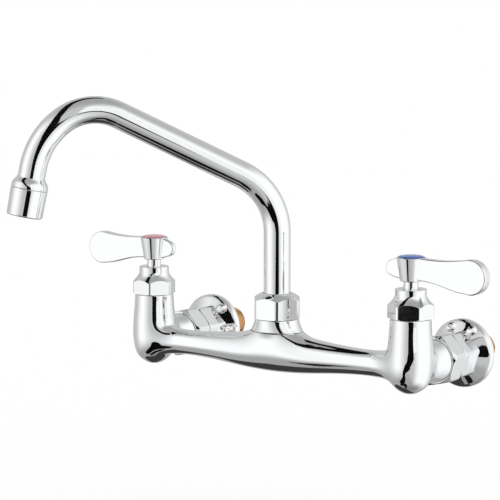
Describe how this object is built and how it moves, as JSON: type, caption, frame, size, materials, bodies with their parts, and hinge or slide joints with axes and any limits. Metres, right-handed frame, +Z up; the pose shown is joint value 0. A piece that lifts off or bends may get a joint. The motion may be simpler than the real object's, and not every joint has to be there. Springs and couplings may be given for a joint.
{
  "type": "commercial wall faucet",
  "caption": "Wall faucet with a bar between two quarter-turn lever valves, a swivel arched spout with an aerator, and round wall flanges on unions.",
  "frame": {"origin": "on the wall plane, midway between the two inlets and level with them", "axes": "+X to the right seen from the front, towards the cold valve; +Y into the wall; +Z up"},
  "size_m": [0.3122, 0.2236, 0.1924],
  "materials": {
    "chrome": "polished chromium plate on brass",
    "brass": "machined, unplated",
    "stainless": "plain stainless steel",
    "ceramic": "lapped alumina ceramic",
    "rubber": "moulded, matt",
    "acetal": "moulded, satin",
    "hot_index": "moulded, glossy, red",
    "cold_index": "moulded, glossy, blue"
  },
  "bodies": {
    "root": {"body": "chrome", "hot_bonnet": "chrome", "hot_bonnet_oring": "rubber", "hot_cartridge_body": "brass", "hot_fixed_disc": "ceramic", "hot_seat_seal": "rubber", "hot_coupling_nut": "chrome", "hot_union_washer": "rubber", "hot_retaining_clip": "stainless", "hot_flanged_inlet": "chrome", "hot_adapter": "brass", "hot_adapter_oring": "rubber", "cold_bonnet": "chrome", "cold_bonnet_oring": "rubber", "cold_cartridge_body": "brass", "cold_fixed_disc": "ceramic", "cold_seat_seal": "rubber", "cold_coupling_nut": "chrome", "cold_union_washer": "rubber", "cold_retaining_clip": "stainless", "cold_flanged_inlet": "chrome", "cold_adapter": "brass", "cold_adapter_oring": "rubber", "spout_nut": "chrome", "spout_glide_ring": "acetal"},
    "spout": {"spout_tube": "chrome", "spout_spigot": "brass", "spout_oring_lower": "rubber", "spout_oring_upper": "rubber", "spout_tip": "chrome", "aerator_shell": "chrome", "aerator_washer": "rubber", "aerator_screen": "stainless", "aerator_insert": "acetal"},
    "hot_handle": {"hot_moving_disc": "ceramic", "hot_stem": "chrome", "hot_stem_oring": "rubber", "hot_lever": "chrome", "hot_handle_screw": "stainless", "hot_index_button": "hot_index"},
    "cold_handle": {"cold_moving_disc": "ceramic", "cold_stem": "chrome", "cold_stem_oring": "rubber", "cold_lever": "chrome", "cold_handle_screw": "stainless", "cold_index_button": "cold_index"}
  },
  "joints": [
    {"name": "spout_swing", "type": "hinge", "parent": "root", "child": "spout", "pos_m": [0, -0.0697, 0], "axis": [0, 0, 1], "range_deg": [-60, 150]},
    {"name": "hot_handle_turn", "type": "hinge", "parent": "root", "child": "hot_handle", "pos_m": [-0.1016, -0.0697, 0], "axis": [0, 0, 1], "range_deg": [0, 90]},
    {"name": "cold_handle_turn", "type": "hinge", "parent": "root", "child": "cold_handle", "pos_m": [0.1016, -0.0697, 0], "axis": [0, 0, 1], "range_deg": [-90, 0]}
  ]
}
